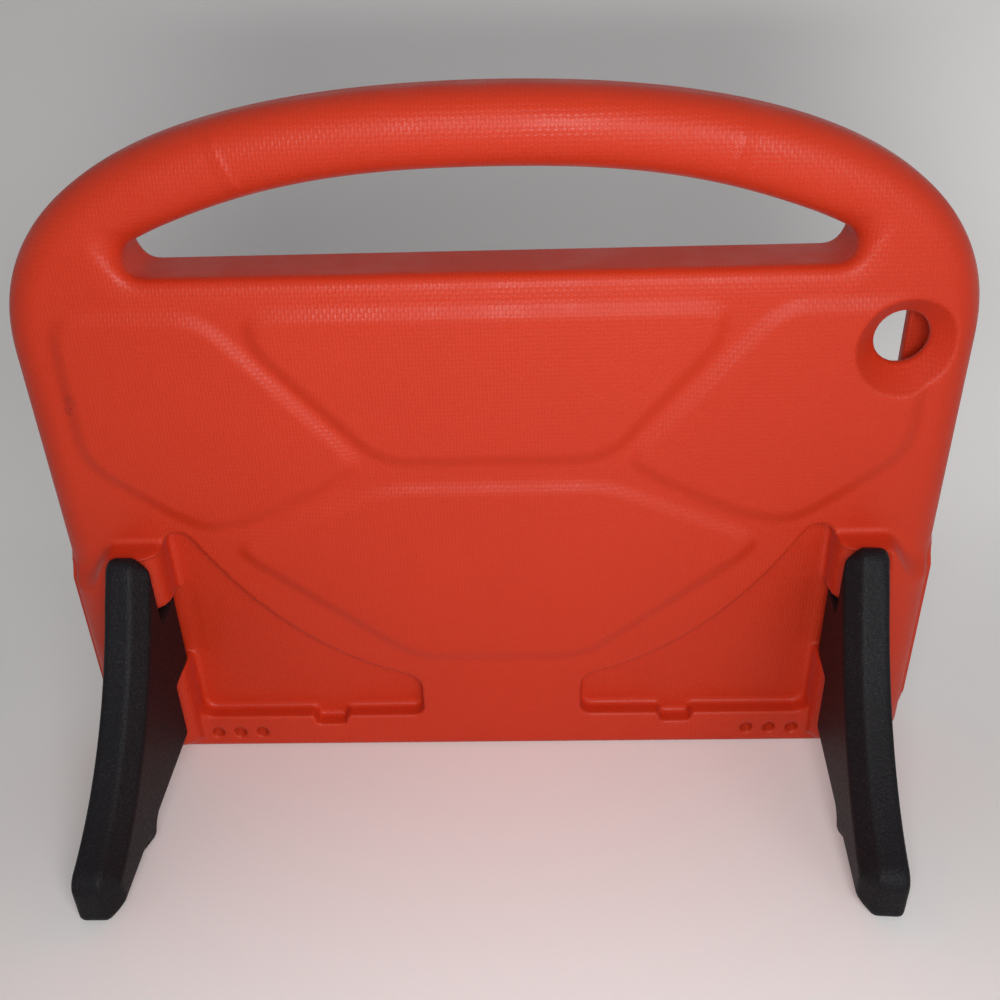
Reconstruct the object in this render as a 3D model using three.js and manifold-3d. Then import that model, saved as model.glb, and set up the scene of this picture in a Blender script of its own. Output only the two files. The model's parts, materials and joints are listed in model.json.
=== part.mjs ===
// Children's tablet case: one moulded foam shell with a carrying handle, and two foam legs that
// swing out of its back on steel pins. Millimetres.
// Inside the case's own group, x runs across it as seen from behind, y up along it from its bottom
// edge, and z out of its back. Seen from behind, the left side has negative x.
import * as THREE from "three";
import { mergeVertices } from "three/addons/utils/BufferGeometryUtils.js";
import Module from "manifold-3d";

const wasm = await Module();
wasm.setup();

// The tablet, and the walls round it
const tabletWidth = 262;
const tabletHeight = 159;
const tabletThickness = 9.8;
const tabletPlay = 0.3;
const bayDepthPlay = 0.7;
const bayCornerRadius = 8;
const sideWall = 8.7;
const bottomWall = 8.7;
const topWall = 7.2;
const backPlate = 9;
const lipThickness = 4.5;
const lipOverlap = 7;
const windowCornerRadius = 6;

// The shell's outline and its rounded edges
const lowerCornerRadius = 25;
const shoulderDrop = 72;
const shoulderPull = 41;
const shoulderSpread = 37;
const bodyEdgeRadius = 9.8;
const frontEdgeRadius = 6;
const bottomEdgeRadius = 3.5;
const bottomEdgeBlend = 22;

// The handle and the hand hole under it
const gripHeight = 21.2;
const handHoleHeight = 27.3;
const handHoleEndInset = 38.5;
const handHoleEndRise = 6;
const handHoleCornerRun = 6;
const handHoleArchRise = 9.5;
const handHoleLipRun = 15;
const handHoleLipRadius = 3;

// The raised pads on the back
const padRise = 1.7;
const padSlope = 3;
const padSink = 1;
const padCorner = 9;
const padTopInset = 2.5;
const padShoulderX = 68;
const sidePadInset = 18;
const lowerPadRise = 26;
const crossRise = 20.5;
const crossHalf = 34;
const grooveHalf = 4.7;

// The leg recesses, the same shape as the legs that fold into them
const recessDepth = 6.1;
const recessOuterInset = 33.6;
const recessTipX = 27.4;
const recessBottomY = 14.9;
const recessApexY = 92.5;
const recessApexRadius = 5.2;
const recessApexTurn = 150;
const recessTipHeight = 18.6;
const recessFloorRadius = 2.8;
const recessHeelRadius = 5;
const recessTipRadius = 4;
const fingerNotchX = 60.5;
const fingerNotchWidth = 11.8;
const fingerNotchDepth = 3.9;
const fingerNotchSlant = 1;

// The legs and their hinges
const legThickness = 13;
const legPlay = 0.5;
const legInnerEdgeRadius = 3.2;
const legOuterEdgeRadius = 1.6;
const leftOpenAngle = 90;
const rightOpenAngle = 86;
const runningGap = 0.4;
const rootStep = 0.9;
const collarStep = 2.5;
const pinRadius = 1.5;
const pinPlay = 0.3;
const pinHold = 14;
const neckBottomY = 40.5;
const neckTopY = 68;

// The raised collar round each leg root
const collarTopY = 89.5;
const collarWall = 1.8;
const collarRise = 1.05;
const collarOuterInset = 4;
const collarShoulderRun = 15;
const collarShoulderDrop = 10.5;
const collarBottomY = 6;
const collarBottomRun = 9.5;
const collarLead = 1.8;

// Openings in the back plate
const cameraX = 118.6;
const cameraY = 152.1;
const cameraRadius = 8;
const cameraFlareRadius = 14;
const cameraFlareDepth = 7;
const speakerX = 93.7;
const speakerY = 7.3;
const speakerPitch = 7.9;
const speakerCount = 3;
const speakerRadius = 2;
const speakerTilt = 20;

// The flats that the case stands on
const standFlat = 0.3;

// Worked out from the sizes above
const bayWidth = tabletWidth + 2 * tabletPlay;
const bayHeight = tabletHeight + 2 * tabletPlay;
const bayDepth = tabletThickness + bayDepthPlay;
const halfWidth = bayWidth / 2 + sideWall;
const thickness = backPlate + bayDepth + lipThickness;
const bayTopY = bottomWall + bayHeight;
const handHoleBottomY = bayTopY + topWall;
const handHoleTopY = handHoleBottomY + handHoleHeight;
const caseTopY = handHoleTopY + gripHeight;
const shoulderY = caseTopY - shoulderDrop;
const knuckleRadius = legThickness / 2 + runningGap;
const recessOuterX = halfWidth - recessOuterInset;
const hingeX = recessOuterX + knuckleRadius;
const hingeZ = knuckleRadius - recessDepth;
const legRoot = knuckleRadius + rootStep;
const pinBoreRadius = pinRadius + pinPlay;
const through = 2 * thickness;

const steps = { edge: 4, arch: 18, corner: 6, small: 3 };

function solidOf(geometry) {
  const bare = geometry.clone();
  bare.deleteAttribute("normal");
  bare.deleteAttribute("uv");
  const merged = mergeVertices(bare, 1e-4);
  const solid = new wasm.Manifold(
    new wasm.Mesh({
      numProp: 3,
      vertProperties: new Float32Array(merged.attributes.position.array),
      triVerts: new Uint32Array(merged.index.array),
    }),
  );
  return solid;
}

function geometryOf(solid) {
  const mesh = solid.getMesh();
  const stride = mesh.numProp;
  const position = new Float32Array(mesh.numVert * 3);
  for (let i = 0; i < mesh.numVert; i++) {
    position.set(mesh.vertProperties.subarray(i * stride, i * stride + 3), i * 3);
  }
  const geometry = new THREE.BufferGeometry();
  geometry.setAttribute("position", new THREE.BufferAttribute(position, 3));
  geometry.setIndex(new THREE.BufferAttribute(mesh.triVerts, 1));
  geometry.computeVertexNormals();
  return geometry;
}

// Joins stretches of curve into one outline, without the points that two stretches share.
function outlineOf(stretches) {
  return withoutSpare(stretches.flatMap(([curve, count]) => curve.getPoints(count)));
}

// Drops the points that repeat their neighbour or lie on the straight line between their neighbours.
function withoutSpare(points) {
  const apart = points.filter(
    (p, i) => p.distanceTo(points[(i + points.length - 1) % points.length]) > 0.02,
  );
  return apart.filter((p, i) => {
    const before = apart[(i + apart.length - 1) % apart.length];
    const after = apart[(i + 1) % apart.length];
    const bow = p.clone().sub(before).cross(after.clone().sub(before)) / after.distanceTo(before);
    return Math.abs(bow) > 1e-3;
  });
}

const line = (a, b) => [new THREE.LineCurve(a, b), 1];
const bend = (a, corner, b, count = steps.small) => [
  new THREE.QuadraticBezierCurve(a, corner, b),
  count,
];
const arc = (x, y, radius, from, count = steps.small, turn = Math.PI / 2) => [
  new THREE.EllipseCurve(x, y, radius, radius, from, from + turn),
  count,
];
const at = (x, y) => new THREE.Vector2(x, y);

// The outward normal at each point of an outline, longer at a corner so that offset sides stay parallel.
function normalsOf(points) {
  const turn = THREE.ShapeUtils.area(points) > 0 ? 1 : -1;
  return points.map((p, i) => {
    const before = p.clone().sub(points[(i + points.length - 1) % points.length]).normalize();
    const after = points[(i + 1) % points.length].clone().sub(p).normalize();
    const normal = at(before.y + after.y, -before.x - after.x).normalize();
    const reach = Math.max(0.5, normal.x * before.y - normal.y * before.x);
    return normal.multiplyScalar(turn / reach);
  });
}

function inset(points, distance) {
  const normals = normalsOf(points);
  return points.map((p, i) => p.clone().addScaledVector(normals[i], -distance));
}

// The triangles of a flat face. Where a wide rim has closed up a corner of the face, the outline's own
// triangles serve in place of the face's.
function faceOf(loops, ring, upward) {
  const needed = ring.length + 2 * (loops.length - 1) - 2;
  const pulled = loops.map(() => []);
  let taken = 0;
  loops.forEach((loop, i) => {
    pulled[i] = ring.slice(taken, taken + loop.length).map(([x, y]) => at(x, y));
    taken += loop.length;
  });
  const choices = [pulled, loops].map((set) => ({
    points: set.flat(),
    triangles: THREE.ShapeUtils.triangulateShape(set[0], set.slice(1)),
  }));
  const { points, triangles } = choices.find((choice) => choice.triangles.length === needed);
  return triangles.flatMap(([a, b, c]) => {
    const turn = points[b].clone().sub(points[a]).cross(points[c].clone().sub(points[a])) > 0;
    return turn === upward ? [a, b, c] : [a, c, b];
  });
}

// A plate with rounded rims. Each rim is a function of a point and its normal that says how far the
// face's outline is pulled in along x and y there, and how far below the face the side wall begins.
function roundedPlate(outline, holes, low, high, lowRim, highRim) {
  const loops = [outline, ...holes];
  const material = loops.map((loop, i) =>
    normalsOf(loop).map((n) => (i === 0 ? n : n.negate())),
  );
  const ring = (face, side, rim, step) => {
    const angle = (step / steps.edge) * (Math.PI / 2);
    return loops.flatMap((loop, l) =>
      loop.map((p, i) => {
        const normal = material[l][i];
        const pull = rim(p, normal);
        const share = 1 - Math.cos(angle);
        return [
          p.x - normal.x * pull.x * share,
          p.y - normal.y * pull.y * share,
          face + side * pull.depth * (1 - Math.sin(angle)),
        ];
      }),
    );
  };
  const rings = [];
  for (let step = steps.edge; step >= 0; step--) rings.push(ring(low, 1, lowRim, step));
  for (let step = 0; step <= steps.edge; step++) rings.push(ring(high, -1, highRim, step));
  const count = rings[0].length;
  const index = [];
  let start = 0;
  for (const loop of loops) {
    const turn = THREE.ShapeUtils.area(loop) > 0 ? 1 : -1;
    const isHole = start > 0;
    const forward = isHole ? turn < 0 : turn > 0;
    for (let r = 0; r + 1 < rings.length; r++) {
      for (let i = 0; i < loop.length; i++) {
        const a = start + i;
        const b = start + ((i + 1) % loop.length);
        const [from, to] = forward ? [a, b] : [b, a];
        index.push(r * count + from, r * count + to, (r + 1) * count + to);
        index.push(r * count + from, (r + 1) * count + to, (r + 1) * count + from);
      }
    }
    start += loop.length;
  }
  index.push(...faceOf(loops, rings[0], false));
  index.push(...faceOf(loops, rings.at(-1), true).map((k) => k + count * (rings.length - 1)));
  const geometry = new THREE.BufferGeometry();
  geometry.setAttribute("position", new THREE.Float32BufferAttribute(rings.flat(2), 3));
  geometry.setIndex(index);
  return solidOf(geometry);
}

const evenRim = (radius) => () => ({ x: radius, y: radius, depth: radius });

function blend(from, to, start, end, value) {
  return THREE.MathUtils.lerp(from, to, THREE.MathUtils.smoothstep(value, start, end));
}

// A straight prism over an outline in x and y.
function prism(outline, low, high) {
  const geometry = new THREE.ExtrudeGeometry(new THREE.Shape(outline), {
    depth: high - low,
    bevelEnabled: false,
  });
  return solidOf(geometry.translate(0, 0, low));
}

function block(x0, x1, y0, y1, z0, z1) {
  const geometry = new THREE.BoxGeometry(x1 - x0, y1 - y0, z1 - z0);
  return solidOf(geometry.translate((x0 + x1) / 2, (y0 + y1) / 2, (z0 + z1) / 2));
}

// A rod along y.
function rod(radius, x, z, y0, y1, sides) {
  const geometry = new THREE.CylinderGeometry(radius, radius, y1 - y0, sides);
  return solidOf(geometry.translate(x, (y0 + y1) / 2, z));
}

function roundedRectangle(x0, x1, y0, y1, radius) {
  return outlineOf([
    line(at(x0 + radius, y0), at(x1 - radius, y0)),
    bend(at(x1 - radius, y0), at(x1, y0), at(x1, y0 + radius)),
    line(at(x1, y0 + radius), at(x1, y1 - radius)),
    bend(at(x1, y1 - radius), at(x1, y1), at(x1 - radius, y1)),
    line(at(x1 - radius, y1), at(x0 + radius, y1)),
    bend(at(x0 + radius, y1), at(x0, y1), at(x0, y1 - radius)),
    line(at(x0, y1 - radius), at(x0, y0 + radius)),
    bend(at(x0, y0 + radius), at(x0, y0), at(x0 + radius, y0)),
  ]);
}

// A polygon whose corners are bends that begin at most the given distance before the corner.
function softPolygon(corners, reach) {
  const stretches = corners.flatMap((corner, i) => {
    const before = corners[(i + corners.length - 1) % corners.length];
    const after = corners[(i + 1) % corners.length];
    const toward = (other) => {
      const away = other.clone().sub(corner);
      return corner.clone().addScaledVector(away.normalize(), Math.min(reach, other.distanceTo(corner) / 2.05));
    };
    return [bend(toward(before), corner, toward(after))];
  });
  return outlineOf(stretches);
}

const mirrored = (points) => points.map((p) => at(-p.x, p.y)).reverse();

// The whole case seen from behind, with the arch of the handle on top.
function caseOutline() {
  const right = [
    arc(halfWidth - lowerCornerRadius, lowerCornerRadius, lowerCornerRadius, 1.5 * Math.PI, steps.corner),
    line(at(halfWidth, lowerCornerRadius), at(halfWidth, shoulderY)),
    [
      new THREE.CubicBezierCurve(
        at(halfWidth, shoulderY),
        at(halfWidth, shoulderY + shoulderPull),
        at(halfWidth - shoulderSpread, caseTopY),
        at(0, caseTopY),
      ),
      steps.arch,
    ],
  ];
  const half = outlineOf(right);
  return [...half, ...mirrored(half).slice(1)];
}

// The hand hole: a flat sill below, and the arch of the grip above.
function handHoleOutline() {
  const endX = halfWidth - handHoleEndInset;
  const endY = handHoleBottomY + handHoleEndRise;
  const archY = handHoleBottomY + handHoleArchRise;
  const half = outlineOf([
    bend(at(endX - handHoleCornerRun, handHoleBottomY), at(endX, handHoleBottomY), at(endX, endY), steps.corner),
    bend(at(endX, endY), at(endX, archY - 1.3), at(endX - 3.1, archY)),
    [
      new THREE.CubicBezierCurve(
        at(endX - 3.1, archY),
        at(endX - 36.1, handHoleTopY - 3.6),
        at(endX - 62.1, handHoleTopY),
        at(0, handHoleTopY),
      ),
      steps.arch,
    ],
  ]);
  return [...half, ...mirrored(half).slice(1)];
}

function shellBlank() {
  const sill = handHoleBottomY + handHoleEndRise;
  const backRim = (p) => {
    const radius = blend(bottomEdgeRadius, bodyEdgeRadius, 0, bottomEdgeBlend, p.y);
    return { x: radius, y: radius, depth: radius };
  };
  const frontRim = (p) => {
    const lower = blend(bottomEdgeRadius, frontEdgeRadius, 0, bottomEdgeBlend, p.y);
    const radius = blend(lower, bodyEdgeRadius, shoulderY, sill, p.y);
    return { x: radius, y: radius, depth: radius };
  };
  const holeRim = (p) => {
    const lipTop = handHoleBottomY + handHoleLipRun;
    const radius = blend(handHoleLipRadius, bodyEdgeRadius, handHoleBottomY, lipTop, p.y);
    return { x: radius, y: radius, depth: radius };
  };
  const hole = handHoleOutline();
  const inHole = new Set(hole);
  const choose = (rim) => (p) => (inHole.has(p) ? holeRim(p) : rim(p));
  return roundedPlate(caseOutline(), [hole], -thickness, 0, choose(frontRim), choose(backRim));
}

// A soft-edged pad that stands on the back.
function pad(corners) {
  const crest = () => ({ x: padSlope, y: padSlope, depth: padRise });
  return roundedPlate(softPolygon(corners, padCorner), [], -padSink, padRise, evenRim(0.2), crest);
}

// The four pads keep clear of the leg recesses, with a groove between each pair.
function backPads() {
  const topY = bayTopY - padTopInset;
  const crossY = recessApexY + crossRise;
  const footY = recessBottomY + lowerPadRise;
  const upperPad = [
    at(-padShoulderX, topY),
    at(-padShoulderX, topY - 12),
    at(-crossHalf, crossY + grooveHalf),
    at(crossHalf, crossY + grooveHalf),
    at(padShoulderX, topY - 12),
    at(padShoulderX, topY),
  ];
  const sideX = halfWidth - sidePadInset;
  const sidePad = [
    at(sideX, topY),
    at(padShoulderX + 14, topY),
    at(crossHalf + 7, crossY + grooveHalf),
    at(recessOuterX - 30, recessApexY + 6),
    at(recessOuterX - 13, recessApexY + 4),
    at(sideX, crossY + 6),
  ];
  const lowerPad = [
    at(-crossHalf, crossY - grooveHalf),
    at(-recessOuterX + 22, recessApexY - 5),
    at(-crossHalf + 5, footY),
    at(crossHalf - 5, footY),
    at(recessOuterX - 22, recessApexY - 5),
    at(crossHalf, crossY - grooveHalf),
  ];
  return [upperPad, sidePad, mirrored(sidePad), lowerPad].map(pad);
}

// The recess on the right side. The leg has the same outline, a little smaller.
function recessOutline() {
  const outer = recessOuterX;
  const bottom = recessBottomY;
  const apex = recessApexY;
  const apexTurn = THREE.MathUtils.degToRad(recessApexTurn);
  const apexCentre = at(outer - recessApexRadius, apex - recessApexRadius);
  const diagonalTop = at(
    apexCentre.x + recessApexRadius * Math.cos(apexTurn),
    apexCentre.y + recessApexRadius * Math.sin(apexTurn),
  );
  const diagonalEnd = at(recessTipX + 4.6, bottom + recessTipHeight);
  const along = (x, y) =>
    at(
      THREE.MathUtils.lerp(diagonalEnd.x, diagonalTop.x, x),
      THREE.MathUtils.lerp(diagonalEnd.y, diagonalTop.y, y),
    );
  const notchLeft = fingerNotchX - fingerNotchWidth / 2;
  const notchRight = fingerNotchX + fingerNotchWidth / 2;
  const notchFloor = bottom - fingerNotchDepth;
  return outlineOf([
    line(at(outer, bottom + recessHeelRadius), at(outer, apexCentre.y)),
    arc(apexCentre.x, apexCentre.y, recessApexRadius, 0, steps.corner, apexTurn),
    [new THREE.CubicBezierCurve(diagonalTop, along(0.72, 0.435), along(0.346, 0.12), diagonalEnd), 8],
    bend(diagonalEnd, at(recessTipX, diagonalEnd.y - 1.7), at(recessTipX, diagonalEnd.y - 6.5)),
    line(at(recessTipX, diagonalEnd.y - 6.5), at(recessTipX, bottom + recessTipRadius)),
    arc(recessTipX + recessTipRadius, bottom + recessTipRadius, recessTipRadius, Math.PI),
    line(at(notchLeft, bottom), at(notchLeft + fingerNotchSlant, notchFloor)),
    line(at(notchRight - fingerNotchSlant, notchFloor), at(notchRight, bottom)),
    arc(outer - recessHeelRadius, bottom + recessHeelRadius, recessHeelRadius, 1.5 * Math.PI),
  ]);
}

function recessCutter() {
  return roundedPlate(
    recessOutline(),
    [],
    -recessDepth,
    through,
    evenRim(recessFloorRadius),
    evenRim(recessFloorRadius),
  );
}

// The raised collar: steep above the leg and towards the recess, and sloping to the case's side and foot.
function collar() {
  const inner = hingeX - knuckleRadius - collarRise;
  const outer = halfWidth - collarOuterInset;
  const corner = lowerCornerRadius - collarOuterInset;
  const topCorner = 3;
  const outline = outlineOf([
    line(at(inner, collarBottomY), at(outer - corner, collarBottomY)),
    arc(outer - corner, collarBottomY + corner, corner, 1.5 * Math.PI, steps.corner),
    line(at(outer, collarBottomY + corner), at(outer, collarTopY - topCorner)),
    bend(at(outer, collarTopY - topCorner), at(outer, collarTopY), at(outer - topCorner, collarTopY)),
    line(at(outer - topCorner, collarTopY), at(inner, collarTopY)),
  ]);
  const top = hingeZ + knuckleRadius + collarRise;
  const round = knuckleRadius + collarRise;
  const rim = (p, normal) => {
    const sideways = Math.min(1, normal.x * normal.x);
    const outward = normal.x > 0;
    const downward = normal.y < 0;
    const sideDrop = outward ? collarShoulderDrop : round;
    const endDrop = downward ? top : collarWall / 3;
    return {
      x: outward ? collarShoulderRun : round,
      y: downward ? collarBottomRun : collarWall / 3,
      depth: THREE.MathUtils.lerp(endDrop, sideDrop, sideways),
    };
  };
  return roundedPlate(outline, [], -backPlate, top, evenRim(1), rim);
}

// What the collar leaves free for the leg's root: the round knuckles stay, with a seat beside them.
function seatCutter() {
  const top = hingeZ + knuckleRadius;
  const seatOuter = hingeX + knuckleRadius + runningGap;
  const shape = new THREE.Shape();
  shape.moveTo(recessOuterX - knuckleRadius, hingeZ);
  shape.lineTo(recessOuterX, hingeZ);
  shape.absarc(hingeX, hingeZ, knuckleRadius, Math.PI, Math.PI / 2, true);
  shape.lineTo(seatOuter, top);
  shape.lineTo(seatOuter + collarLead, top + collarLead);
  shape.lineTo(seatOuter + collarLead, through);
  shape.lineTo(recessOuterX - knuckleRadius, through);
  const seatTop = collarTopY - collarWall;
  const geometry = new THREE.ExtrudeGeometry(shape, {
    depth: seatTop + through,
    bevelEnabled: false,
    curveSegments: steps.corner,
  });
  return solidOf(geometry.rotateX(Math.PI / 2).translate(0, seatTop, 0));
}

// The gap between the two knuckles, where the leg's neck reaches the pin.
function neckPocket() {
  const inner = recessOuterX - recessFloorRadius - 2;
  return rod(knuckleRadius, hingeX, hingeZ, neckBottomY, neckTopY, 28)
    .add(block(hingeX - knuckleRadius, hingeX + knuckleRadius, neckBottomY, neckTopY, hingeZ, through))
    .add(block(inner, hingeX, neckBottomY, neckTopY, -recessDepth, through));
}

function pinBore() {
  return rod(pinBoreRadius, hingeX, hingeZ, neckBottomY - pinHold - pinPlay, neckTopY + pinHold + pinPlay, 16);
}

function mirroredSolid(solid) {
  const geometry = geometryOf(solid);
  geometry.applyMatrix4(new THREE.Matrix4().makeScale(-1, 1, 1));
  const turned = geometry.index.array.slice();
  for (let i = 0; i < turned.length; i += 3) {
    [turned[i + 1], turned[i + 2]] = [turned[i + 2], turned[i + 1]];
  }
  geometry.setIndex(new THREE.BufferAttribute(turned, 1));
  return solidOf(geometry);
}

function tabletBay() {
  const rear = -backPlate;
  const front = -backPlate - bayDepth;
  const bay = roundedRectangle(-bayWidth / 2, bayWidth / 2, bottomWall, bayTopY, bayCornerRadius);
  const windowHalf = bayWidth / 2 - lipOverlap;
  const screen = roundedRectangle(
    -windowHalf,
    windowHalf,
    bottomWall + lipOverlap,
    bayTopY - lipOverlap,
    windowCornerRadius,
  );
  return prism(bay, front, rear).add(prism(screen, -through, front + 1));
}

// The camera hole flares towards the back.
function cameraHole() {
  const profile = [
    at(0, -backPlate - 1),
    at(cameraRadius, -backPlate - 1),
    at(cameraRadius, -cameraFlareDepth),
    at(cameraFlareRadius, 0),
    at(cameraFlareRadius + 1, 1.4 * padRise),
    at(0, 1.4 * padRise),
  ];
  const geometry = new THREE.LatheGeometry(profile, 30);
  return solidOf(geometry.rotateX(Math.PI / 2).translate(cameraX, cameraY, 0));
}

// A slanted row of sound holes from the back into the foot of the bay.
function speakerHoles() {
  const holes = [];
  for (const side of [-1, 1]) {
    for (let i = 0; i < speakerCount; i++) {
      const x = side * (speakerX + (i - (speakerCount - 1) / 2) * speakerPitch);
      const geometry = new THREE.CylinderGeometry(speakerRadius, speakerRadius, 2 * (backPlate + 1), 12);
      geometry.rotateX(Math.PI / 2 + THREE.MathUtils.degToRad(speakerTilt));
      holes.push(solidOf(geometry.translate(x, speakerY, 0)));
    }
  }
  return holes;
}

// The case leans until its bottom edge and the feet of both legs touch the same plane.
const foot = {
  y: recessBottomY + recessTipRadius,
  z: hingeZ + hingeX - recessTipX - recessTipRadius,
  radius: recessTipRadius - legPlay,
};
const rise = bottomEdgeRadius - foot.y;
const reach = -bottomEdgeRadius - foot.z;
const lean =
  -Math.acos((bottomEdgeRadius - foot.radius) / Math.hypot(rise, reach)) - Math.atan2(reach, rise);
const standHeight =
  bottomEdgeRadius * (Math.cos(lean) + Math.sin(lean)) - bottomEdgeRadius + standFlat;

// Everything below the standing plane, in the case's own frame.
function groundCutter() {
  const size = 2 * caseTopY;
  const geometry = new THREE.BoxGeometry(2 * halfWidth + size, size, size);
  geometry.translate(0, 0, standHeight - size / 2);
  return solidOf(geometry.rotateX(-Math.PI / 2 - lean));
}

function caseBody() {
  let body = shellBlank();
  const rightCollar = collar();
  const added = [rightCollar, mirroredSolid(rightCollar), ...backPads()];
  for (const piece of added) body = body.add(piece);
  const rightCuts = [recessCutter(), seatCutter(), neckPocket(), pinBore()];
  const cuts = [
    ...rightCuts,
    ...rightCuts.map(mirroredSolid),
    tabletBay(),
    cameraHole(),
    ...speakerHoles(),
    groundCutter(),
  ];
  for (const piece of cuts) body = body.subtract(piece);
  return body;
}

// The right leg, folded, with the hinge axis on x = 0 and z = 0.
function foldedLeg() {
  const outline = inset(recessOutline(), legPlay).map((p) => at(p.x - hingeX, p.y));
  const plate = roundedPlate(
    outline,
    [],
    -legThickness / 2,
    legThickness / 2,
    evenRim(legInnerEdgeRadius),
    evenRim(legOuterEdgeRadius),
  );
  const low = neckBottomY + runningGap;
  const high = neckTopY - runningGap;
  const half = legThickness / 2;
  const rootEnd = block(-legRoot, legRoot, 0, caseTopY, -legThickness, legThickness);
  const collarNotch = block(
    -legRoot - collarStep,
    legRoot,
    collarTopY - collarWall - runningGap,
    caseTopY,
    -legThickness,
    legThickness,
  );
  return plate
    .subtract(rootEnd)
    .subtract(collarNotch)
    .add(block(-legRoot - legInnerEdgeRadius - 2, 0, low, high, -half, half))
    .add(rod(half, 0, 0, low, high, 28))
    .subtract(rod(pinBoreRadius, 0, 0, 0, collarTopY, 16));
}

function openLeg(solid, side, openAngle) {
  const turn = THREE.MathUtils.degToRad(side * openAngle);
  const geometry = geometryOf(side > 0 ? solid : mirroredSolid(solid));
  geometry.rotateY(turn).translate(side * hingeX, 0, hingeZ);
  return solidOf(geometry).subtract(groundCutter());
}

function hingePin(side) {
  return rod(pinRadius, side * hingeX, hingeZ, neckBottomY - pinHold, neckTopY + pinHold, 16);
}

const redFoam = new THREE.MeshStandardMaterial({ color: 0xd8382a, roughness: 0.75, metalness: 0 });
const blackFoam = new THREE.MeshStandardMaterial({ color: 0x24242a, roughness: 0.8, metalness: 0 });
const steel = new THREE.MeshStandardMaterial({ color: 0xb4b6b8, roughness: 0.35, metalness: 1 });

function named(name, solid, material) {
  const mesh = new THREE.Mesh(geometryOf(solid), material);
  mesh.name = name;
  return mesh;
}

const leg = foldedLeg();
const tabletCase = new THREE.Group();
tabletCase.add(
  named("case_body", caseBody(), redFoam),
  named("left_leg", openLeg(leg, -1, leftOpenAngle), blackFoam),
  named("right_leg", openLeg(leg, 1, rightOpenAngle), blackFoam),
  named("left_hinge_pin", hingePin(-1), steel),
  named("right_hinge_pin", hingePin(1), steel),
);
tabletCase.rotation.x = Math.PI / 2 + lean;
tabletCase.position.z = -standHeight;
const extent = new THREE.Box3().setFromObject(tabletCase, true);
tabletCase.position.y = -(extent.min.y + extent.max.y) / 2;

export default tabletCase;
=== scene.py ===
"""The looks of a children's foam tablet case, standing on its legs with its back to the camera."""

import json
import math

import bpy
import numpy as np
from mathutils import Matrix, Vector


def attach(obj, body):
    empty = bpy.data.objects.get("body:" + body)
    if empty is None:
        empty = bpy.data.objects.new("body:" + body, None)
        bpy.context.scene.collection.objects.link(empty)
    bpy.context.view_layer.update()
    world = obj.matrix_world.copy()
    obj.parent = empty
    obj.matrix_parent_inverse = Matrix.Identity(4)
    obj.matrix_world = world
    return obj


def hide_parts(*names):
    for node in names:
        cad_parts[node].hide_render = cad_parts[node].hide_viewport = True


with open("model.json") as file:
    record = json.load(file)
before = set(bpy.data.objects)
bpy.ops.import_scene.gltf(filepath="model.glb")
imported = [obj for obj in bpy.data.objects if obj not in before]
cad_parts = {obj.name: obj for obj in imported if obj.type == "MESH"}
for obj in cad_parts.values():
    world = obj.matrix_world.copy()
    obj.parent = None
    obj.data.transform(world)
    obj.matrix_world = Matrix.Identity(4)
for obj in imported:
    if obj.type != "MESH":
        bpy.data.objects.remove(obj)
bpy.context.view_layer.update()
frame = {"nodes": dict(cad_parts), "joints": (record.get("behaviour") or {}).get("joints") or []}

# The case's own frame: x across as seen from behind, y up along the case from its bottom edge, z out of
# its back. Sizes are in millimetres.
HALF_WIDTH = 140.0
TOP = 224.0
SHOULDER = 152.0
THICKNESS = 24.0
BACK_PLATE = 9.0
LIP = 4.5
CORNER = 25.0
BAY = (131.3, 8.7, 168.3, 8.0)
WINDOW = (124.3, 15.7, 161.3, 6.0)
SILL = 175.5
ARCH = 202.8
HINGE_X, HINGE_Y, HINGE_Z = 113.3, 54.25, 0.8
KNUCKLE = 6.9
RECESS_X, RECESS_FLOOR = 106.4, -6.1
LEG_HALF = 6.5
LEG_ROOT = 7.8
NECK = (40.5, 68.0)
COLLAR_TOP = 89.5
COLLAR_RISE = KNUCKLE + 1.05
COLLAR_INNER = 105.35
PAD_HEIGHT = 1.5
CAMERA_X, CAMERA_Y = 118.6, 152.1
CAMERA_RADIUS = 8
CAMERA_THROAT = -7
CAMERA_FLARE = 0.857
SOUND_X, SOUND_Y = 93.7, 7.3
SOUND_PITCH = 7.9
SOUND_RADIUS = 2.1
SOUND_SLANT = (0.94, 0.342)
PIN_HOLE = 1.8
OPEN_ANGLES = {-1: 90.0, 1: 86.0}

hinge = next(j for j in frame["joints"] if j["name"] == "left_leg_hinge")
UP = Vector(hinge["axis"]).normalized()
OUT = Vector((0, -UP.z, UP.y))
TURN = Matrix((Vector((1, 0, 0)), UP, OUT)).transposed()
ORIGIN = Vector(hinge["pos_m"]) - TURN @ (Vector((-HINGE_X, HINGE_Y, HINGE_Z)) / 1000)


def place(x, y, z):
    """A point of the case's own frame, in the row frame."""
    return ORIGIN + TURN @ (Vector((x, y, z)) / 1000)


def height(y, z):
    """How far a point of the case's own frame is above the ground."""
    return 1000 * ORIGIN.z + UP.z * y + OUT.z * z


# Fields: negative inside the material, and close to the distance from its surface.


def curve(*points, count=24):
    """Points along a Bezier curve, without its last point."""
    t = np.arange(count)[:, None] / count
    while len(points) > 1:
        points = [(1 - t) * np.array(a) + t * np.array(b) for a, b in zip(points, points[1:])]
    return [tuple(p) for p in points[0]]


def arc(x, y, radius, start, turn, count=16):
    """Points along a circle, without the last one. Angles are in degrees."""
    angles = np.radians(start + turn * np.arange(count) / count)
    return [(x + radius * math.cos(a), y + radius * math.sin(a)) for a in angles]


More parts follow.
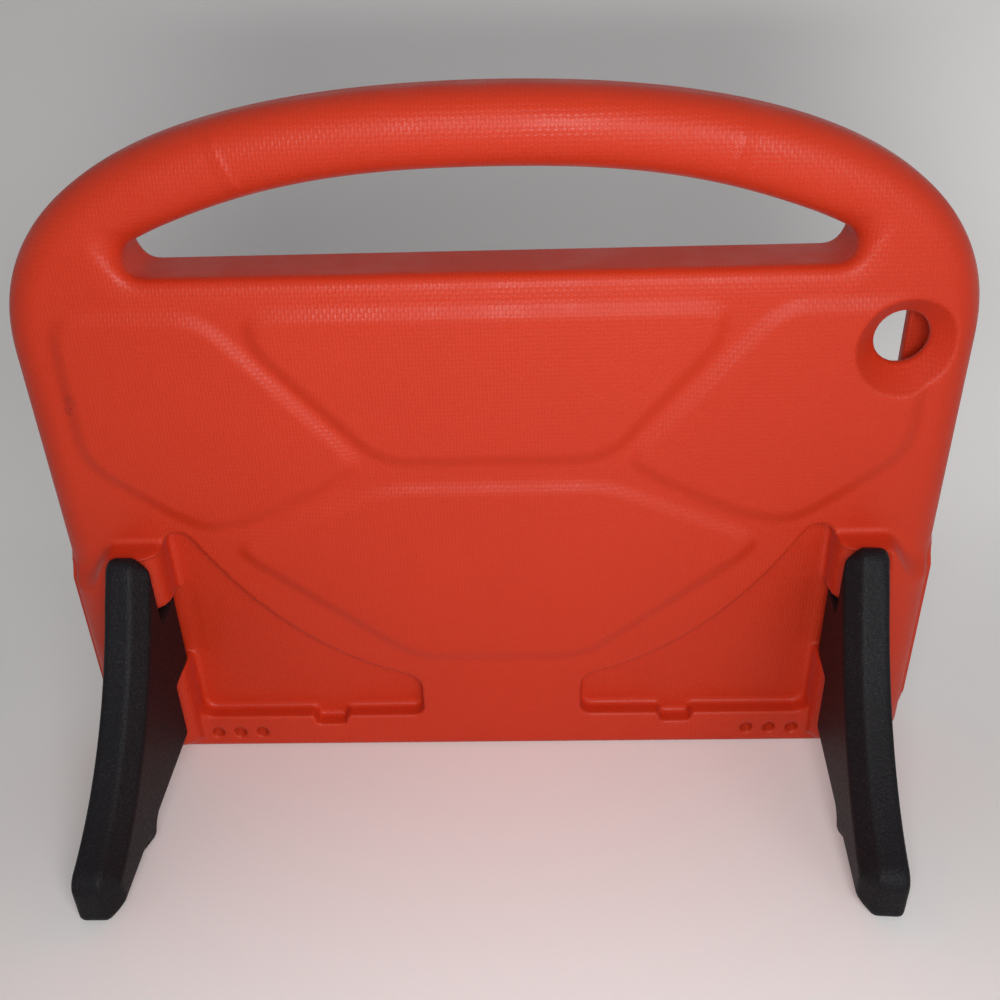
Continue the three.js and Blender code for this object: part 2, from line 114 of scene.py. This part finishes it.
def outline_field(points, px, py):
    """Signed distance from a closed outline, negative inside it."""
    px, py = np.broadcast_arrays(px, py)
    best = np.full(px.shape, 1e9)
    inside = np.zeros(px.shape, bool)
    for (ax, ay), (bx, by) in zip(points, points[1:] + points[:1]):
        ex, ey = bx - ax, by - ay
        if ex * ex + ey * ey < 1e-12:
            continue
        t = np.clip(((px - ax) * ex + (py - ay) * ey) / (ex * ex + ey * ey), 0, 1)
        best = np.minimum(best, (px - ax - t * ex) ** 2 + (py - ay - t * ey) ** 2)
        if by != ay:
            inside ^= ((ay > py) != (by > py)) & (px < (bx - ax) * (py - ay) / (by - ay) + ax)
    return np.where(inside, -1, 1) * np.sqrt(best)


def soften(points, reach, count=6):
    """The same outline with each corner turned into a bend."""
    made = []
    for i, p in enumerate(points):
        p = np.array(p, float)
        ends = []
        for other in (points[i - 1], points[(i + 1) % len(points)]):
            away = np.array(other, float) - p
            length = np.linalg.norm(away)
            ends.append(p + away / length * min(reach, 0.48 * length))
        made += curve(ends[0], p, ends[1], count=count) + [tuple(ends[1])]
    return made


def box_outline(half, low, high, radius):
    """A box centred across the case, with round corners."""
    return soften([(-half, low), (half, low), (half, high), (-half, high)], 1.3 * radius)


def mirrored(points):
    return [(-x, y) for x, y in reversed(points)]


def smooth_step(low, high, value):
    t = np.clip((value - low) / (high - low), 0, 1)
    return t * t * (3 - 2 * t)


def blend(low, high, start, end, value):
    return low + (high - low) * smooth_step(start, end, value)


def join(a, b, soft):
    """Both materials, with a fillet in the corner between them."""
    near = np.maximum(soft - np.abs(a - b), 0) / soft
    return np.minimum(a, b) - near * near * soft / 4


def keep(a, b, soft):
    """What lies in both fields, with the edge between them rounded."""
    near = np.maximum(soft - np.abs(a - b), 0) / soft
    return np.maximum(a, b) + near * near * soft / 4


def rounded(side, face, radius):
    """The corner between a side and a face, rounded with a true radius."""
    a, b = side + radius, face + radius
    return np.minimum(np.maximum(a, b), 0) + np.hypot(np.maximum(a, 0), np.maximum(b, 0)) - radius


def case_outline():
    right = arc(HALF_WIDTH - CORNER, CORNER, CORNER, -90, 90)
    right += curve(
        (HALF_WIDTH, SHOULDER), (HALF_WIDTH, SHOULDER + 41), (HALF_WIDTH - 37, TOP), (0, TOP), count=60
    )
    return right + [(0, TOP)] + mirrored(right)


def hole_outline():
    end, low, high = HALF_WIDTH - 38.5, SILL + 6, SILL + 9.5
    right = curve((end - 6, SILL), (end, SILL), (end, low), count=12)
    right += curve((end, low), (end, high - 1.3), (end - 3.1, high), count=8)
    right += curve((end - 3.1, high), (end - 36.1, ARCH - 3.6), (end - 62.1, ARCH), (0, ARCH), count=60)
    return right + [(0, ARCH)] + mirrored(right)


def recess_outline():
    """The right recess, counterclockwise from the foot of its outer wall."""
    bottom, apex = 14.9, 92.5
    tab = bottom - 3.9
    centre = (RECESS_X - 5.2, apex - 5.2)
    points = [(RECESS_X, bottom + 5)]
    points += arc(*centre, 5.2, 0, 150)
    top = arc(*centre, 5.2, 150, 1, count=1)[0]
    foot = (32.0, bottom + 18.6)

    def along(x, y):
        return (foot[0] + (top[0] - foot[0]) * x, foot[1] + (top[1] - foot[1]) * y)

    points += curve(top, along(0.72, 0.435), along(0.346, 0.12), foot, count=30)
    points += curve(foot, (27.4, foot[1] - 1.7), (27.4, foot[1] - 6.5), count=8)
    points += arc(31.4, bottom + 4, 4, 180, 90, count=8)
    notch = soften(
        [(48, bottom), (54.6, bottom), (55.6, tab), (65.4, tab), (66.4, bottom), (73, bottom)],
        1.2,
    )
    points += [p for p in notch if 53 < p[0] < 68]
    points += arc(RECESS_X - 5, bottom + 5, 5, -90, 90, count=8)
    return points


def pad_outlines():
    """The raised pads: one above, one at each side and one below, with grooves between them."""
    upper = [(-68, 165.5), (-68, 156), (-34, 117.7), (34, 117.7), (66, 156), (66, 165.5)]
    side = [
        (124, 165.5), (82, 165.5), (41, 117.7), (45, 113.5), (72, 99.5),
        (83, 96.2), (91, 95.5), (99, 99.5), (124, 119),
    ]
    lower = [(-35, 108.3), (-84, 87), (-28, 42), (28, 42), (84, 87), (35, 108.3)]
    return [soften(p, 9) for p in (upper, side, mirrored(side), lower)]


def body_field(x, y, z):
    """The whole shell, with its handle, collars, recesses, tablet bay and holes."""
    across = np.abs(x)
    flat_x, flat_y = x[:, :, 0], y[:, :, 0]
    flat_across = across[:, :, 0]

    def lifted(points, px=None):
        return outline_field(points, flat_x if px is None else px, flat_y)[:, :, None]

    side = lifted(case_outline())
    hole = lifted(hole_outline())
    relief = np.zeros_like(side)
    for points in pad_outlines():
        relief = np.maximum(relief, PAD_HEIGHT * smooth_step(-2.8, 2.8, -lifted(points)))
    relief = relief - 1.3 * np.clip(1 - hole / 8, 0, 1) ** 2 * smooth_step(194, 182, y)
    back = z - relief
    front = -THICKNESS - z
    edge = blend(blend(3.5, 11, 0, 22, y), 10.2, 150, 175, y)
    front_edge = blend(blend(3.5, 6, 0, 22, y), 10.2, SHOULDER, 181, y)
    lip = blend(3, 10.2, SILL + 1, 189, y)
    body = np.maximum(rounded(side, back, edge), rounded(side, front, front_edge))
    body = np.maximum(body, np.maximum(rounded(-hole, back, lip), rounded(-hole, front, lip)))
    for mirror, start, lean in ((-1, 65.8, 0.376), (1, 64.9, 0.265)):
        seam = (mirror * x - start - lean * (y - 201)) / math.hypot(1, lean)
        ridge = 0.5 * np.exp(-((seam / 0.6) ** 2)) + 0.22 * np.exp(-(((seam - 1.7) / 0.7) ** 2))
        ends = smooth_step(0.5, 6, hole) * smooth_step(0.5, 6, -side)
        body = body - ridge * ends * smooth_step(193, 196, y) * smooth_step(3, -1, -z - 8)

    inner = np.sqrt(np.maximum(COLLAR_RISE**2 - (HINGE_X - flat_across) ** 2, 0.01)) + HINGE_Z
    crest = np.where(flat_across < HINGE_X, inner, HINGE_Z + COLLAR_RISE)
    shoulder = np.clip((flat_across - 122.3) / 14.7, 0, 1)
    foot = np.clip((15.5 - flat_y) / 10, 0, 1)
    crest = crest - 10.5 * (1 - np.sqrt(1 - shoulder**2)) - 7.4 * (1 - np.sqrt(1 - foot**2))
    run = blend(1.5, 10, 120, 129, flat_across)
    start = blend(COLLAR_TOP + 0.8, COLLAR_TOP - 4.5, 122, 133, flat_across)
    rise = smooth_step(0, 1, (start - flat_y) / run)
    base = -2 - 9.5 * smooth_step(124, 139, flat_across)
    crest = base + (crest - base) * rise
    step = flat_x[1, 0] - flat_x[0, 0]
    slope = np.hypot(*np.gradient(crest, step))
    collar = (z - crest[:, :, None]) / np.sqrt(1 + np.minimum(slope, 4) ** 2)[:, :, None]
    collar = keep(collar, y - COLLAR_TOP - 0.4, 1.2)
    collar = np.maximum(np.maximum(collar, COLLAR_INNER - across), np.maximum(-BACK_PLATE - z, 4 - y))
    body = join(body, np.maximum(collar, side + 1), 2.5)

    recess = rounded(lifted(recess_outline(), flat_across), RECESS_FLOOR - z, 1.8)
    body = keep(body, -recess, 0.8)
    seat = [(100, HINGE_Z), (RECESS_X, HINGE_Z)]
    seat += arc(HINGE_X, HINGE_Z, KNUCKLE, 180, -90)
    seat += [(120.6, HINGE_Z + KNUCKLE), (122.4, HINGE_Z + KNUCKLE + 1.8), (122.4, 60), (100, 60)]
    seat_side = outline_field(seat, across[:, 0, :], z[:, 0, :])[:, None, :]
    body = keep(body, -np.maximum(seat_side, y - (COLLAR_TOP - 1.8)), 0.9)
    neck = np.maximum(NECK[0] - y, y - NECK[1])
    pocket = np.hypot(across - HINGE_X, z - HINGE_Z) - KNUCKLE
    pocket = np.minimum(pocket, np.maximum(np.abs(across - HINGE_X) - KNUCKLE, HINGE_Z - z))
    pocket = np.minimum(pocket, np.maximum(np.abs(across - 107.45) - 5.85, RECESS_FLOOR - z))
    body = keep(body, -np.maximum(pocket, neck), 0.6)

    bay = np.maximum(lifted(box_outline(*BAY)), np.maximum(z + BACK_PLATE, LIP - THICKNESS - z))
    window = np.maximum(lifted(box_outline(*WINDOW)), z - (LIP - THICKNESS + 0.5))
    body = keep(body, -np.minimum(bay, window), 1.2)

    far = np.hypot(x - CAMERA_X, y - CAMERA_Y)
    flare = np.clip(z - CAMERA_THROAT, 0, 20) * CAMERA_FLARE
    funnel = (far - CAMERA_RADIUS - flare) * np.where(z > CAMERA_THROAT, 0.76, 1)
    body = keep(body, -np.maximum(funnel, -BACK_PLATE - 2 - z), 0.6)
    for mid in (SOUND_X - SOUND_PITCH, SOUND_X, SOUND_X + SOUND_PITCH):
        tube = np.hypot(across - mid, (y - SOUND_Y) * SOUND_SLANT[0] + z * SOUND_SLANT[1]) - SOUND_RADIUS
        body = keep(body, -np.maximum(tube, -12 - z), 0.5)
    return keep(body, 0.3 - height(y, z), 0.4)


def leg_field(x, y, z, side):
    """A leg as it lies folded, with the hinge axis on x = 0 and z = 0, and seen as the right one."""
    outline = recess_outline()
    flat = outline_field(outline, x[:, :, 0] + HINGE_X, y[:, :, 0])[:, :, None] + 0.5
    leg = np.maximum(keep(flat, -LEG_HALF - z, 1), rounded(flat, z - LEG_HALF, blend(1.8, 3, 80, 91, y)))
    leg = keep(leg, (flat - LEG_HALF - z + 4.8) * 0.7071, 0.7)
    leg = keep(leg, x + LEG_ROOT, 0.8)
    notch = np.maximum(-2.5 - LEG_ROOT - x, COLLAR_TOP - 2.2 - y)
    leg = keep(leg, -notch, 0.8)
    neck = np.maximum(NECK[0] + 0.4 - y, y - NECK[1] + 0.4)
    bar = np.maximum(np.abs(z) - LEG_HALF, np.maximum(x, -LEG_ROOT - 6 - x))
    bar = np.minimum(bar, np.hypot(x, z) - LEG_HALF)
    leg = np.minimum(leg, np.maximum(bar, neck))
    leg = np.maximum(leg, PIN_HOLE - np.hypot(x, z))
    turn = math.radians(OPEN_ANGLES[side])
    out = HINGE_Z - x * math.sin(turn) + z * math.cos(turn)
    return keep(leg, 0.3 - height(y, out), 0.4)


def sample(field, points):
    """The field between its grid points."""
    cell = np.clip(points.astype(int), 0, np.array(field.shape) - 2)
    part = points - cell
    total = np.zeros(len(points))
    for corner in range(8):
        bit = np.array([corner & 1, corner >> 1 & 1, corner >> 2 & 1])
        weight = np.where(bit, part, 1 - part).prod(1)
        total += weight * field[tuple((cell + bit).T)]
    return total


def surface_of(field):
    """Corners, quads and outward normals of a field's surface, in grid steps."""
    inside = field < 0
    shape = np.array(field.shape) - 1
    count = np.zeros(shape, np.int8)
    for corner in range(8):
        bit = [corner & 1, corner >> 1 & 1, corner >> 2 & 1]
        count += inside[tuple(slice(b, b + n) for b, n in zip(bit, shape))]
    cells = np.argwhere((count > 0) & (count < 8))
    ids = np.full(shape, -1, np.int32)
    ids[tuple(cells.T)] = np.arange(len(cells))
    total = np.zeros((len(cells), 3))
    crossings = np.zeros(len(cells))
    for axis in range(3):
        one, two = (axis + 1) % 3, (axis + 2) % 3
        for a in (0, 1):
            for b in (0, 1):
                start = np.zeros(3, int)
                start[one], start[two] = a, b
                end = start.copy()
                end[axis] = 1
                f0 = field[tuple((cells + start).T)]
                f1 = field[tuple((cells + end).T)]
                cut = (f0 < 0) != (f1 < 0)
                t = f0[cut] / (f0[cut] - f1[cut])
                total[cut] += start + t[:, None] * (end - start)
                crossings[cut] += 1
    points = cells + total / crossings[:, None]
    quads = []
    for axis in range(3):
        one, two = (axis + 1) % 3, (axis + 2) % 3
        low = tuple(slice(None, -1) if d == axis else slice(1, -1) for d in range(3))
        high = tuple(slice(1, None) if d == axis else slice(1, -1) for d in range(3))
        edges = np.argwhere(inside[low] != inside[high])
        leaving = inside[low][tuple(edges.T)]
        ring = []
        for a, b in ((0, 0), (1, 0), (1, 1), (0, 1)):
            cell = edges.copy()
            cell[:, one] += a
            cell[:, two] += b
            ring.append(ids[tuple(cell.T)])
        quad = np.stack(ring, 1)
        quad[~leaving] = quad[~leaving][:, ::-1]
        quads.append(quad)
    normals = np.zeros_like(points)
    for axis in range(3):
        step = np.zeros(3)
        step[axis] = 0.7
        normals[:, axis] = sample(field, points + step) - sample(field, points - step)
    steep = np.linalg.norm(normals, axis=1, keepdims=True) / 1.4
    normals /= np.maximum(steep * 1.4, 1e-9)
    points -= normals * np.clip(sample(field, points)[:, None] / np.maximum(steep, 0.3), -0.3, 0.3)
    return points, np.concatenate(quads), normals


def grid(low, high, step):
    """The x, y and z of every point of a block of evenly spaced points."""
    counts = [int(math.ceil((b - a) / step)) + 1 for a, b in zip(low, high)]
    axes = [a + step * np.arange(n) for a, n in zip(low, counts)]
    shapes = [(-1, 1, 1), (1, -1, 1), (1, 1, -1)]
    return [np.broadcast_to(v.reshape(s), counts) for v, s in zip(axes, shapes)]


def make_mesh(name, points, quads, normals):
    """A smooth mesh from points in metres, leaving out the points that no quad uses."""
    used, inverse = np.unique(quads, return_inverse=True)
    quads = inverse.reshape(quads.shape)
    mesh = bpy.data.meshes.new(name)
    mesh.vertices.add(len(used))
    mesh.vertices.foreach_set("co", points[used].astype(np.float32).ravel())
    mesh.loops.add(quads.size)
    mesh.loops.foreach_set("vertex_index", quads.astype(np.int32).ravel())
    mesh.polygons.add(len(quads))
    mesh.polygons.foreach_set("loop_start", np.arange(0, quads.size, 4, dtype=np.int32))
    mesh.polygons.foreach_set("use_smooth", np.ones(len(quads), bool))
    mesh.update(calc_edges=True)
    mesh.validate()
    mesh.normals_split_custom_set_from_vertices(normals[used].tolist())
    obj = bpy.data.objects.new(name, mesh)
    bpy.context.scene.collection.objects.link(obj)
    return obj


ROW = np.array(TURN)
SHIFT = np.array(ORIGIN)


def body_meshes(step):
    low, high = (-143.0, -3.0, -26.5), (143.0, 227.0, 10.5)
    points, quads, normals = surface_of(body_field(*grid(low, high, step)))
    points = points * step + np.array(low)
    middle = points[quads].mean(1)
    grip = middle[:, 1] > 171
    rear = (middle[:, 2] > -BACK_PLATE - 1.5) & ~grip
    bay_face = rear & (middle[:, 2] < 0.5 - BACK_PLATE) & (np.abs(middle[:, 0]) < BAY[0])
    bay_face &= (middle[:, 1] > BAY[1]) & (middle[:, 1] < BAY[2])
    points, normals = (points / 1000) @ ROW.T + SHIFT, normals @ ROW.T
    parts = {
        "shell_back": rear & ~bay_face,
        "shell_bay_face": bay_face,
        "shell_front": ~rear & ~grip,
        "shell_handle": grip,
    }
    return [make_mesh(name, points, quads[chosen], normals) for name, chosen in parts.items()]


def leg_mesh(name, side, step):
    low, high = (-88.0, 8.0, -8.0), (8.0, 95.0, 8.0)
    points, quads, normals = surface_of(leg_field(*grid(low, high, step), side))
    points = points * step + np.array(low)
    turn = math.radians(OPEN_ANGLES[side])
    swing = np.array(
        [[math.cos(turn), 0, math.sin(turn)], [0, 1, 0], [-math.sin(turn), 0, math.cos(turn)]]
    )
    points = points @ swing.T + np.array([HINGE_X, 0, HINGE_Z])
    normals = normals @ swing.T
    if side < 0:
        points, normals = points * [-1, 1, 1], normals * [-1, 1, 1]
        quads = quads[:, ::-1]
    return make_mesh(name, (points / 1000) @ ROW.T + SHIFT, quads, normals @ ROW.T)


# Finishes


class Finish:
    """A material, with short calls for making its nodes."""

    def __init__(self, name, **values):
        self.material = bpy.data.materials.new(name)
        self.material.use_nodes = True
        self.tree = self.material.node_tree
        self.shader = self.tree.nodes["Principled BSDF"]
        for key, value in values.items():
            self.shader.inputs[key.replace("_", " ")].default_value = value
        place_node = self.tree.nodes.new("ShaderNodeTexCoord")
        self.place = place_node.outputs["Object"]
        self.normal = place_node.outputs["Normal"]

    def feed(self, source, target):
        """Sets an input from another node, or to a value."""
        if isinstance(source, bpy.types.NodeSocket):
            self.tree.links.new(source, target)
        else:
            target.default_value = source

    def math(self, operation, *values):
        node = self.tree.nodes.new("ShaderNodeMath")
        node.operation = operation
        for value, target in zip(values, node.inputs):
            self.feed(value, target)
        return node.outputs[0]

    def along(self, vector, direction):
        node = self.tree.nodes.new("ShaderNodeVectorMath")
        node.operation = "DOT_PRODUCT"
        self.feed(vector, node.inputs[0])
        node.inputs[1].default_value = direction
        return node.outputs["Value"]

    def noise(self, scale, detail=2, vector=None):
        """Noise with so many waves in a metre."""
        node = self.tree.nodes.new("ShaderNodeTexNoise")
        self.feed(vector or self.place, node.inputs["Vector"])
        node.inputs["Scale"].default_value = scale
        node.inputs["Detail"].default_value = detail
        return node.outputs["Fac"]

    def ramp(self, value, low, high, start=0, end=1):
        """Goes smoothly from start to end while the value goes from low to high."""
        node = self.tree.nodes.new("ShaderNodeMapRange")
        node.interpolation_type = "SMOOTHSTEP"
        for source, target in zip((value, low, high, start, end), node.inputs):
            self.feed(source, target)
        return node.outputs["Result"]

    def mix(self, factor, a, b):
        node = self.tree.nodes.new("ShaderNodeMix")
        node.data_type = "RGBA"
        for source, index in ((factor, 0), (a, 6), (b, 7)):
            self.feed(source, node.inputs[index])
        return node.outputs[2]

    def number(self, factor, a, b):
        node = self.tree.nodes.new("ShaderNodeMix")
        for source, index in ((factor, 0), (a, 2), (b, 3)):
            self.feed(source, node.inputs[index])
        return node.outputs[0]

    def bump(self, height, distance, strength=1):
        """Relief of so many metres, over any relief that is already there."""
        node = self.tree.nodes.new("ShaderNodeBump")
        self.feed(height, node.inputs["Height"])
        node.inputs["Distance"].default_value = distance
        node.inputs["Strength"].default_value = strength
        target = self.shader.inputs["Normal"]
        if target.links:
            self.tree.links.new(target.links[0].from_socket, node.inputs["Normal"])
        self.tree.links.new(node.outputs["Normal"], target)

    def set(self, name, source):
        self.feed(source, self.shader.inputs[name])

    def spot(self, x, y, z, radius):
        """One inside a small soft spot round a point of the case, and zero outside it."""
        node = self.tree.nodes.new("ShaderNodeVectorMath")
        node.operation = "DISTANCE"
        self.feed(self.place, node.inputs[0])
        node.inputs[1].default_value = place(x, y, z)
        return self.ramp(node.outputs["Value"], 0.0004 * radius, 0.001 * radius, 1, 0)


def weave(finish):
    """Height of a woven grain pressed into the foam, over each of the case's three directions."""
    wander = finish.noise(320, 1)
    sides = []
    for direction in (Vector((1, 0, 0)), UP, OUT):
        moved = finish.math("MULTIPLY_ADD", wander, 0.0006, finish.along(finish.place, direction))
        sides.append(moved)

    def grain(across, along):
        one = finish.math("SINE", finish.math("MULTIPLY", across, 1000 * math.pi / 1.05))
        two = finish.math("SINE", finish.math("MULTIPLY", along, 1000 * math.pi / 1.35))
        over = finish.ramp(finish.math("MULTIPLY", one, two), -0.15, 0.15)
        return finish.number(over, finish.math("ABSOLUTE", two), finish.math("ABSOLUTE", one))

    x, y, z = sides
    tilt = [finish.math("ABSOLUTE", finish.along(finish.normal, d)) for d in (Vector((1, 0, 0)), UP)]
    side, top = (finish.ramp(t, 0.6, 0.8) for t in tilt)
    return finish.number(top, finish.number(side, grain(x, y), grain(z, y)), grain(x, z))


def red_foam():
    finish = Finish("red_foam", Specular_IOR_Level=0.33, Sheen_Weight=0.07, Sheen_Roughness=0.3)
    finish.shader.inputs["Sheen Tint"].default_value = (1, 0.7, 0.75, 1)
    woven = weave(finish)
    patches = finish.noise(14, 2)
    fine = finish.noise(1900, 2)
    wear = finish.ramp(finish.noise(60, 3), 0.35, 0.7)
    colour = finish.mix(patches, (0.55, 0.029, 0.006, 1), (0.63, 0.038, 0.0085, 1))
    # Painted shade: the hollows of the weave are drawn a darker red.
    colour = finish.mix(finish.ramp(woven, 0.1, 0.6, 0.2, 0), colour, (0.38, 0.018, 0.008, 1))
    colour = finish.mix(finish.ramp(fine, 0.62, 0.75, 0, 0.18), colour, (0.74, 0.09, 0.05, 1))
    smudge = finish.spot(-123.5, 140, 0, 3)
    for mark in ((-124.5, 137, 0, 2.2), (-118, 117, 0, 1.8), (-121, 151, 0, 1.2)):
        smudge = finish.math("MAXIMUM", smudge, finish.spot(*mark))
    smudge = finish.math("MULTIPLY", smudge, finish.ramp(finish.noise(700, 2), 0.4, 0.65, 0.05, 0.5))
    colour = finish.mix(smudge, colour, (0.09, 0.012, 0.012, 1))
    finish.set("Base Color", colour)
    finish.set("Roughness", finish.ramp(wear, 0, 1, 0.52, 0.42))
    finish.bump(finish.noise(45, 2), 0.0003, 0.5)
    finish.bump(woven, 0.0001, 0.65)
    finish.bump(fine, 0.00004, 0.7)
    return finish.material


def black_foam():
    finish = Finish("black_foam", Specular_IOR_Level=0.17)
    grain = finish.noise(1300, 3)
    patches = finish.noise(30, 2)
    specks = finish.ramp(finish.noise(2600, 1), 0.58, 0.7, 0, 0.7)
    colour = finish.mix(patches, (0.0035, 0.003, 0.004, 1), (0.006, 0.005, 0.007, 1))
    colour = finish.mix(finish.math("MULTIPLY", specks, patches), colour, (0.055, 0.05, 0.052, 1))
    finish.set("Base Color", colour)
    finish.set("Roughness", finish.ramp(grain, 0.3, 0.7, 0.62, 0.5))
    finish.bump(patches, 0.0003, 0.4)
    finish.bump(grain, 0.00022, 0.9)
    return finish.material


def steel():
    finish = Finish("steel", Metallic=1)
    lines = finish.math("MULTIPLY", finish.along(finish.place, Vector((1, 1, 0))), 9000)
    brushed = finish.math("MULTIPLY_ADD", finish.math("SINE", lines), 0.3, finish.noise(900, 3))
    finish.set("Base Color", finish.mix(finish.noise(120), (0.52, 0.52, 0.53, 1), (0.64, 0.63, 0.62, 1)))
    finish.set("Roughness", finish.ramp(brushed, 0.2, 0.9, 0.28, 0.42))
    finish.bump(brushed, 0.00001, 0.6)
    return finish.material


RED, BLACK, STEEL = red_foam(), black_foam(), steel()
fine = 0.9
for part in body_meshes(fine):
    part.data.materials.append(RED)
    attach(part, "case")
    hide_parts("case_body")
for side, name in ((-1, "left_leg"), (1, "right_leg")):
    leg = leg_mesh(name + "_foam", side, 0.8 * fine)
    leg.data.materials.append(BLACK)
    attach(leg, name)
    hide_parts(name)
for name, node in frame["nodes"].items():
    node.data.materials.clear()
    finish = {"case_body": RED, "left_leg": BLACK, "right_leg": BLACK}.get(name, STEEL)
    node.data.materials.append(finish)


def make_camera():
    pitch, roll, yaw = (math.radians(a) for a in (31.59, -0.89, 1.61))
    case_axes = Matrix(
        (
            (1, 0, 0),
            (0, -math.cos(pitch), math.sin(pitch)),
            (0, -math.sin(pitch), -math.cos(pitch)),
        )
    )
    look = Matrix.Rotation(roll, 3, "Z") @ Matrix.Rotation(yaw, 3, "Y") @ case_axes
    right, down, ahead = (TURN @ look.row[i].copy() for i in range(3))
    data = bpy.data.cameras.new("camera")
    data.lens = 39.2
    data.sensor_width = 36
    data.clip_start, data.clip_end = 0.01, 20
    camera = bpy.data.objects.new("camera", data)
    axes = Matrix((right, -down, -ahead)).transposed()
    camera.matrix_world = Matrix.Translation(place(11.1, 279.3, 286.0)) @ axes.to_4x4()
    bpy.context.scene.collection.objects.link(camera)
    bpy.context.scene.camera = camera


def area_light(name, location, target, size, energy):
    data = bpy.data.lights.new(name, "AREA")
    data.shape = "RECTANGLE"
    data.size, data.size_y = size
    data.energy = energy
    light = bpy.data.objects.new(name, data)
    light.location = location
    light.rotation_euler = (Vector(target) - Vector(location)).to_track_quat("-Z", "Y").to_euler()
    bpy.context.scene.collection.objects.link(light)


def seen_directly(tree):
    """One where the camera, a reflection or a clear piece looks, and zero for other rays."""
    rays = tree.nodes.new("ShaderNodeLightPath").outputs
    either = rays["Is Camera Ray"]
    for name in ("Is Glossy Ray", "Is Transmission Ray"):
        node = tree.nodes.new("ShaderNodeMath")
        node.operation = "MAXIMUM"
        tree.links.new(either, node.inputs[0])
        tree.links.new(rays[name], node.inputs[1])
        either = node.outputs[0]
    return either


def paper():
    """Pale card, a little paler where it is seen far off, with painted light that makes it paler to the
    right and less pale up the wall, and a painted shadow of the case where the hand hole looks through;
    clear when seen from its back.
    """
    finish = Finish("paper", Roughness=0.8, Specular_IOR_Level=0.2)
    tone = finish.noise(3, 2)
    finish.set("Base Color", finish.mix(tone, (0.82, 0.805, 0.795, 1), (0.87, 0.855, 0.85, 1)))
    finish.bump(finish.noise(600, 3), 0.0001, 0.3)
    across, away, up = (finish.along(finish.place, d) for d in ((1, 0, 0), (0, 1, 0), (0, 0, 1)))
    deeper = finish.ramp(away, -0.05, 0.3, 0.5, 1)
    # Painted light: the card is drawn paler towards the right.
    painted_light_rightward = finish.ramp(across, -0.5, 0.5, 0.16, 0.34)
    pale = finish.math("MULTIPLY", deeper, painted_light_rightward)
    finish.set("Emission Color", (1, 0.975, 0.955, 1))
    # Painted light: the card is drawn less pale higher up the wall.
    pale = finish.math("MULTIPLY", pale, finish.ramp(up, 0.1, 0.5, 1, 0.6))
    # Painted shadow: behind the case, in the band seen through the hand hole, the card is drawn less
    # pale, as the case's shadow on the wall.
    behind = finish.ramp(finish.math("ABSOLUTE", across), 0.15, 0.4, 0.25, 1)
    outside_painted_shadow = finish.ramp(finish.math("ABSOLUTE", finish.math("SUBTRACT", up, 0.17)), 0.07, 0.15)
    pale = finish.math("MULTIPLY", pale, finish.number(outside_painted_shadow, behind, 1.0))
    finish.set("Emission Strength", finish.math("MULTIPLY", pale, seen_directly(finish.tree)))
    nodes, links = finish.tree.nodes, finish.tree.links
    clear = nodes.new("ShaderNodeBsdfTransparent")
    choice = nodes.new("ShaderNodeMixShader")
    links.new(nodes.new("ShaderNodeNewGeometry").outputs["Backfacing"], choice.inputs[0])
    links.new(finish.shader.outputs[0], choice.inputs[1])
    links.new(clear.outputs[0], choice.inputs[2])
    links.new(choice.outputs[0], nodes["Material Output"].inputs["Surface"])
    return finish.material


def sweep():
    """A floor that bends up into a wall behind the case."""
    start, bend = 0.2, 0.5
    wall = 0.7
    profile = [(-3.5, 0)] + [(y, 0) for y in np.linspace(-0.6, start, 9)]
    for angle in np.linspace(0.05, math.pi / 2, 24):
        profile.append((start + bend * math.sin(angle), bend - bend * math.cos(angle)))
    profile += [(wall, 1.0), (wall, 2.2)]
    points = np.array([(x, y, z) for x in (-2.5, 2.5) for y, z in profile])
    count = len(profile)
    corner = np.arange(count - 1)
    quads = np.stack([corner, corner + count, corner + count + 1, corner + 1], 1)
    mesh = bpy.data.meshes.new("floor")
    mesh.from_pydata(points.tolist(), [], quads.tolist())
    mesh.polygons.foreach_set("use_smooth", np.ones(len(quads), bool))
    floor = bpy.data.objects.new("floor", mesh)
    floor.data.materials.append(paper())
    bpy.context.scene.collection.objects.link(floor)


def make_world():
    """Soft pale light from all round, and a plain pale grey where it is seen."""
    world = bpy.data.worlds.new("world")
    world.use_nodes = True
    nodes, links = world.node_tree.nodes, world.node_tree.links
    light = nodes["Background"]
    light.inputs["Color"].default_value = (0.97, 0.98, 1, 1)
    light.inputs["Strength"].default_value = 0.19
    seen = nodes.new("ShaderNodeBackground")
    seen.inputs["Color"].default_value = (0.55, 0.54, 0.535, 1)
    choice = nodes.new("ShaderNodeMixShader")
    links.new(seen_directly(world.node_tree), choice.inputs[0])
    links.new(light.outputs[0], choice.inputs[1])
    links.new(seen.outputs[0], choice.inputs[2])
    links.new(choice.outputs[0], nodes["World Output"].inputs["Surface"])
    bpy.context.scene.world = world


make_camera()
sweep()
make_world()
area_light("window", (0.55, -1.2, 0.38), (0, 0, 0.1), (0.6, 0.4), 2.7)
area_light("near", (0.03, -0.33, 0.22), (0, 0, 0.135), (0.15, 0.12), 0.86)
bpy.context.scene.view_settings.view_transform = "Standard"
